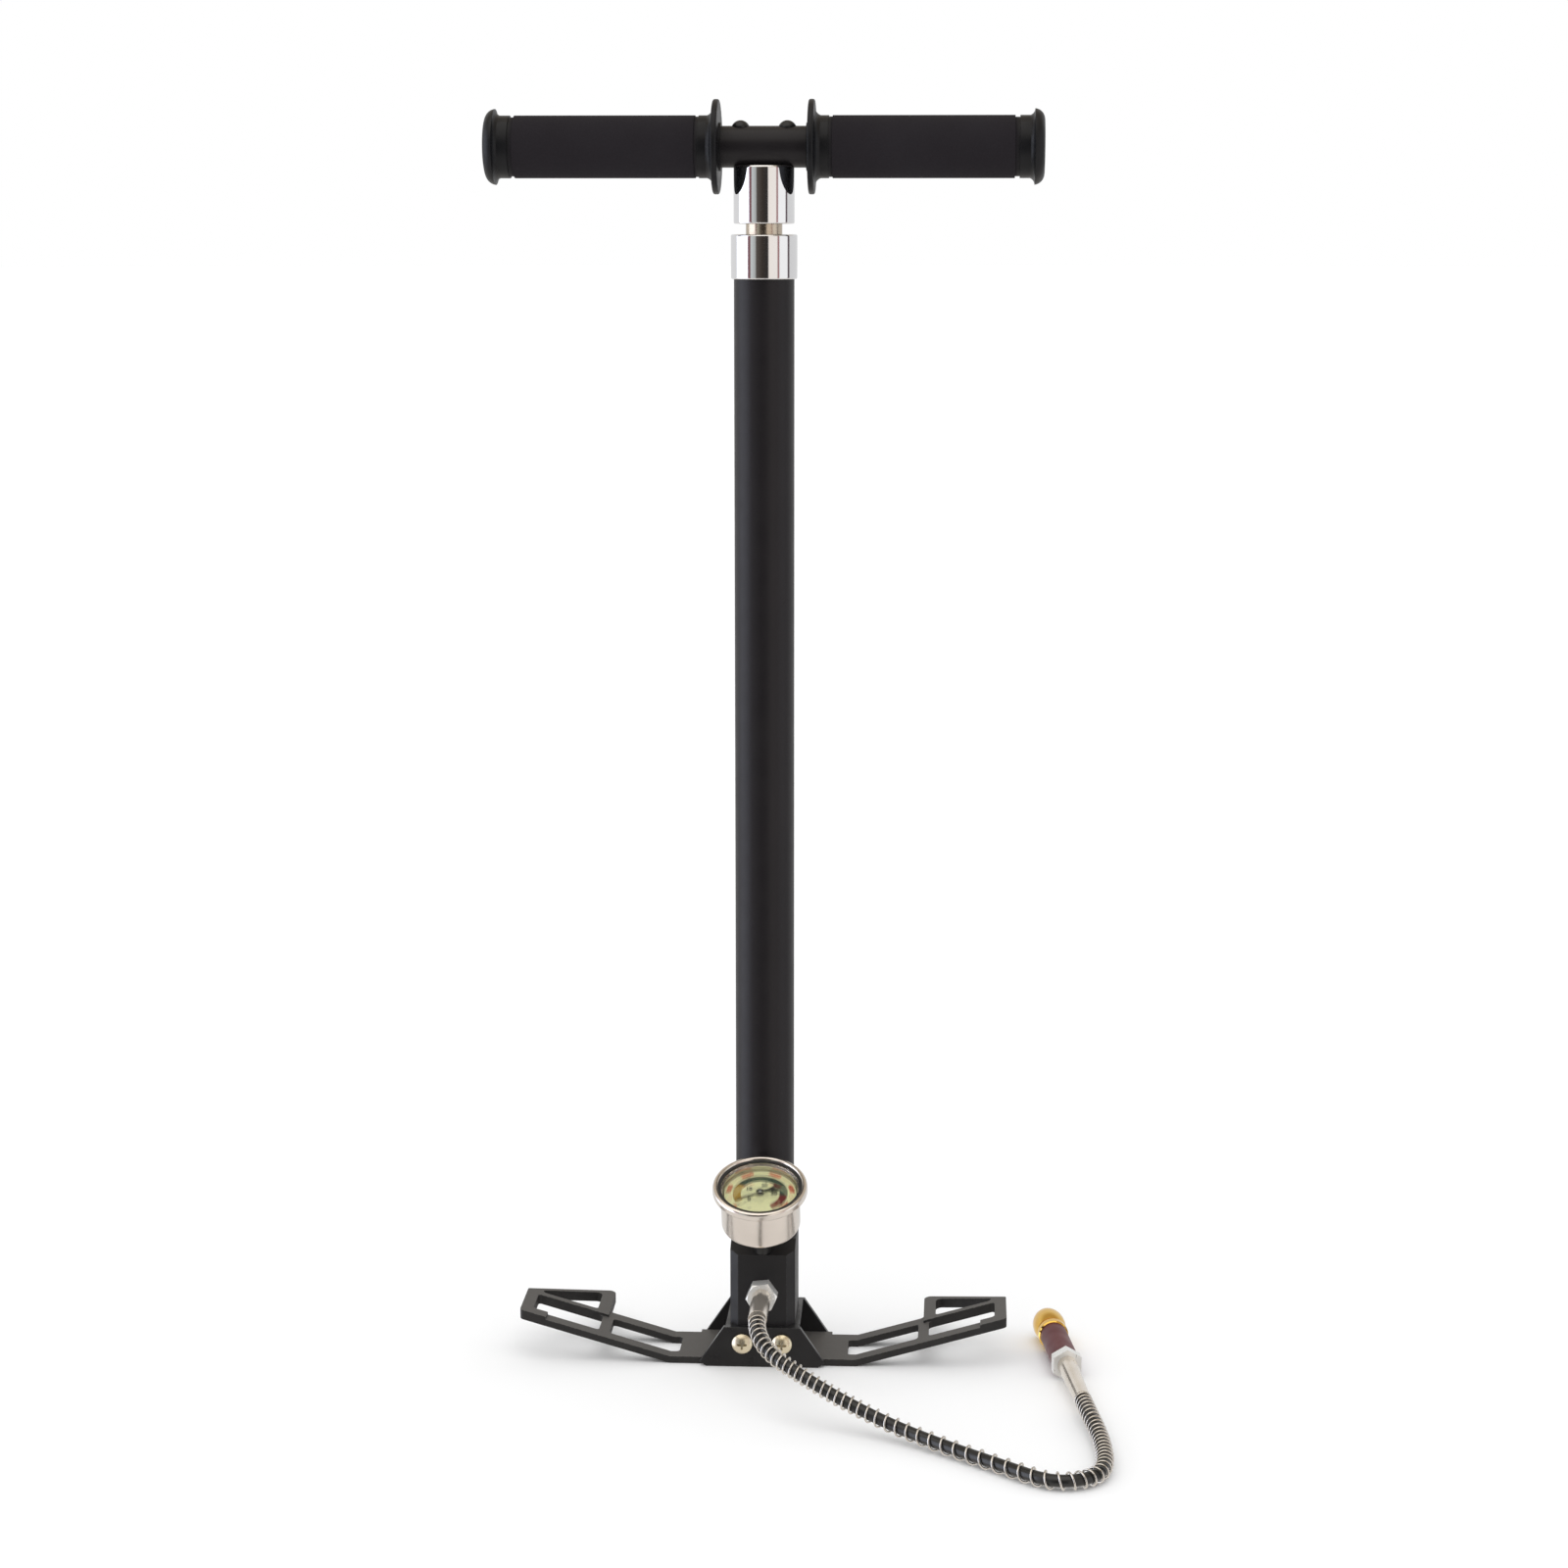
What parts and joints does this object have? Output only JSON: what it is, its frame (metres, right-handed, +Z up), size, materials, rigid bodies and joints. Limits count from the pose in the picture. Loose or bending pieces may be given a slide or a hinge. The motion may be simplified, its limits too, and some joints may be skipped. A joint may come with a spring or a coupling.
{
  "type": "hand pump",
  "caption": "Upright high-pressure air pump with T-handle, long barrel, fold-out feet, tilted gauge and a spring-guarded hose with quick coupler.",
  "frame": {"origin": "middle of the footprint on the floor, hose and coupler left out", "axes": "+Z up along the barrel, -Y towards the gauge and hose port, +X along the handle to the side where the hose lies"},
  "size_m": [0.3125, 0.2297, 0.6404],
  "materials": {
    "barrel_paint": "satin black",
    "chrome": "polished",
    "bronze": "turned",
    "seal_rubber": "smooth",
    "piston_alloy": "turned",
    "rod_steel": "satin ground",
    "bright_steel": "polished",
    "grip_rubber": "fine matt",
    "screw_black": "black oxide",
    "block_black": "black anodised",
    "bracket_black": "gloss black",
    "screw_zinc": "yellow zinc plated",
    "foot_cast": "cast, dark coat",
    "case_steel": "brushed stainless",
    "gauge_glass": "clear",
    "dial_print": "printed",
    "pointer_black": "matt black",
    "stem_brass": "nickel-plated",
    "ferrule_steel": "polished",
    "hose_rubber": "smooth black",
    "guard_wire": "drawn wire",
    "coupler_nickel": "satin",
    "sleeve_maroon": "anodised maroon",
    "collar_gold": "polished"
  },
  "bodies": {
    "pump": {"outer_tube": "barrel_paint", "cylinder_cap": "chrome", "rod_bush": "bronze", "wiper_seal": "seal_rubber", "tube_seal": "seal_rubber", "bump_stop": "seal_rubber", "inner_ring": "seal_rubber", "bleed_seal": "seal_rubber", "coupling_seal": "seal_rubber", "inner_tube": "bright_steel", "inner_head": "bronze", "base_block": "block_black", "valve_plug": "bright_steel", "valve_spring": "bright_steel", "hinge_bracket": "bracket_black", "bracket_screws": "screw_black", "hinge_screws": "screw_zinc", "hinge_nuts": "screw_zinc", "gauge_case": "case_steel", "gauge_lens": "gauge_glass", "gauge_gasket": "seal_rubber", "gauge_dial": "dial_print", "gauge_stem": "screw_black", "gauge_movement": "bronze", "bourdon_tube": "bronze", "hose_fitting": "bright_steel", "ferrule_base": "ferrule_steel", "hose": "hose_rubber", "spring_guard": "guard_wire", "ferrule_end": "ferrule_steel", "coupling_nut": "coupler_nickel", "coupling_core": "ferrule_steel", "coupling_balls": "bright_steel", "coupling_sleeve": "sleeve_maroon", "coupling_clip": "bright_steel", "coupling_spring": "bright_steel"},
    "piston": {"piston_head": "piston_alloy", "piston_ring": "seal_rubber"},
    "handle": {"piston_rod": "rod_steel", "third_stage_rod": "bright_steel", "third_stage_ring": "seal_rubber", "handle_boss": "chrome", "crossbar": "barrel_paint", "left_grip": "grip_rubber", "right_grip": "grip_rubber", "handle_screws": "screw_black"},
    "left_foot": {"left_foot": "foot_cast"},
    "right_foot": {"right_foot": "foot_cast"},
    "pointer": {"gauge_spindle": "bright_steel", "gauge_pointer": "pointer_black"},
    "bleed_pin": {"bleed_pin": "bright_steel"},
    "bleed_screw": {"bleed_screw": "stem_brass"},
    "collar": {"coupling_collar": "collar_gold"},
    "valve_ball": {"valve_ball": "bright_steel"}
  },
  "joints": [
    {"name": "pump_stroke", "type": "slide", "parent": "pump", "child": "piston", "axis": [0, 0, 1], "range_m": [0, 0.44]},
    {"name": "handle_swivel", "type": "hinge", "parent": "piston", "child": "handle", "pos_m": [0, 0.01192, 0.6174], "axis": [0, 0, 1], "continuous": true},
    {"name": "left_foot_fold", "type": "hinge", "parent": "pump", "child": "left_foot", "pos_m": [-0.0102, 0.01192, 0.0126], "axis": [0, 1, 0], "range_deg": [0, 78]},
    {"name": "right_foot_fold", "type": "hinge", "parent": "pump", "child": "right_foot", "pos_m": [0.0102, 0.01192, 0.0126], "axis": [0, -1, 0], "range_deg": [0, 78]},
    {"name": "pointer_sweep", "type": "hinge", "parent": "pump", "child": "pointer", "pos_m": [0, -0.02138, 0.0779], "axis": [0, 0.3746, -0.9272], "range_deg": [0, 250], "stiffness_Nm_per_rad": 0.0005},
    {"name": "bleed_travel", "type": "slide", "parent": "pump", "child": "bleed_pin", "axis": [0, 1, 0], "range_m": [0, 0.001]},
    {"name": "bleed_turn", "type": "hinge", "parent": "bleed_pin", "child": "bleed_screw", "pos_m": [0, 0.02942, 0.0385], "axis": [0, 1, 0], "range_deg": [0, 360]},
    {"name": "collar_slide", "type": "slide", "parent": "pump", "child": "collar", "axis": [-0.1288, 0.9917, 0], "range_m": [0, 0.003], "stiffness_N_per_m": 1000, "springref_m": -0.002},
    {"name": "valve_lift", "type": "slide", "parent": "pump", "child": "valve_ball", "axis": [0, 0, -1], "range_m": [0, 0.0008], "stiffness_N_per_m": 100, "springref_m": -0.002, "deforming": ["valve_spring"]}
  ],
  "couplings": [
    {"joint": "bleed_turn", "follows": "bleed_travel", "rad_per_m": 6283}
  ]
}
